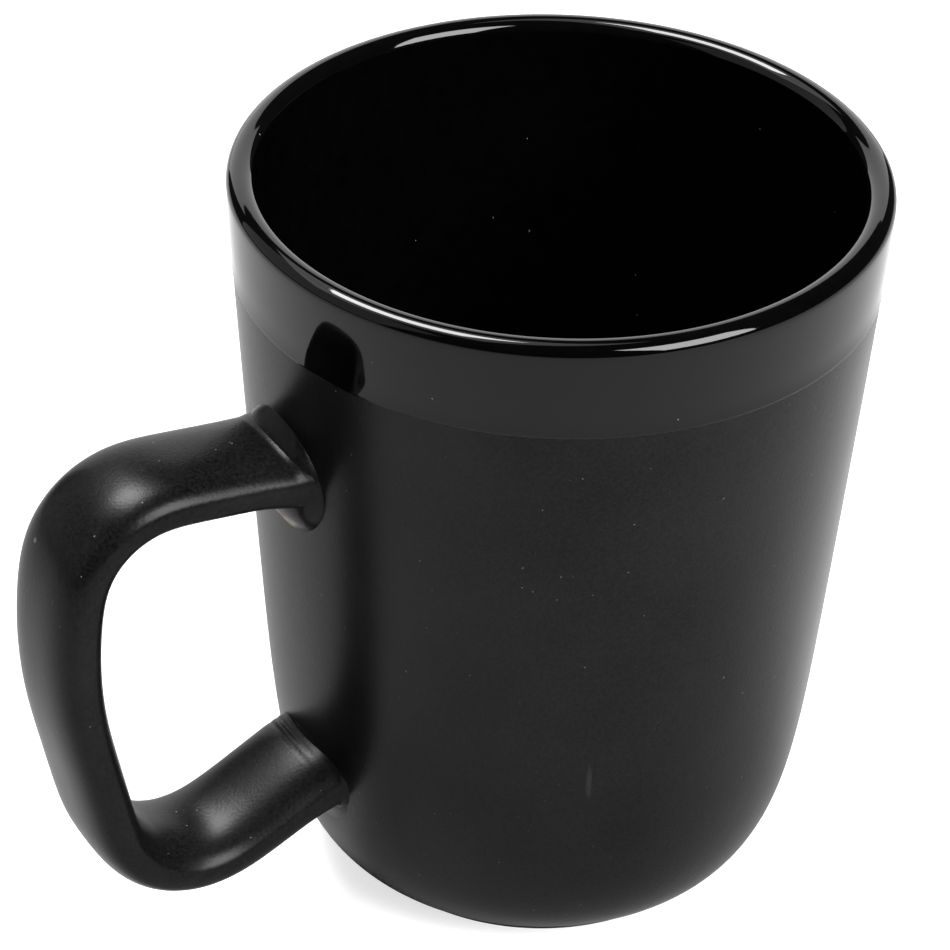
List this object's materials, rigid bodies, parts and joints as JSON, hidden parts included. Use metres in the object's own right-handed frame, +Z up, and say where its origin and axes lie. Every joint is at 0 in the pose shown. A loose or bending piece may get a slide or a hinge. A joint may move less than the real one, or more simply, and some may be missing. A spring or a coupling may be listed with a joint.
{
  "type": "ceramic mug",
  "caption": "Tall tapered stoneware mug with a flat strap handle luted to the wall by slip joints, a matte outside, and a gloss glaze lining that turns over the lip.",
  "frame": {"origin": "centre of the flat dry base, on the cup's own axis", "axes": "+Z up along the cup's axis, -X towards the handle, which lies in the XZ plane"},
  "size_m": [0.1142, 0.082, 0.1],
  "materials": {
    "matte_glaze": "smooth matte black glaze over pale stoneware",
    "gloss_glaze": "gloss black glaze",
    "handle_glaze": "smooth matte black glaze, slightly satin where it is handled",
    "joint_slip": "slip under the matte black glaze"
  },
  "bodies": {
    "root": {"cup_body": "matte_glaze", "gloss_glaze": "gloss_glaze", "handle": "handle_glaze", "upper_joint": "joint_slip", "lower_joint": "joint_slip"}
  },
  "joints": []
}
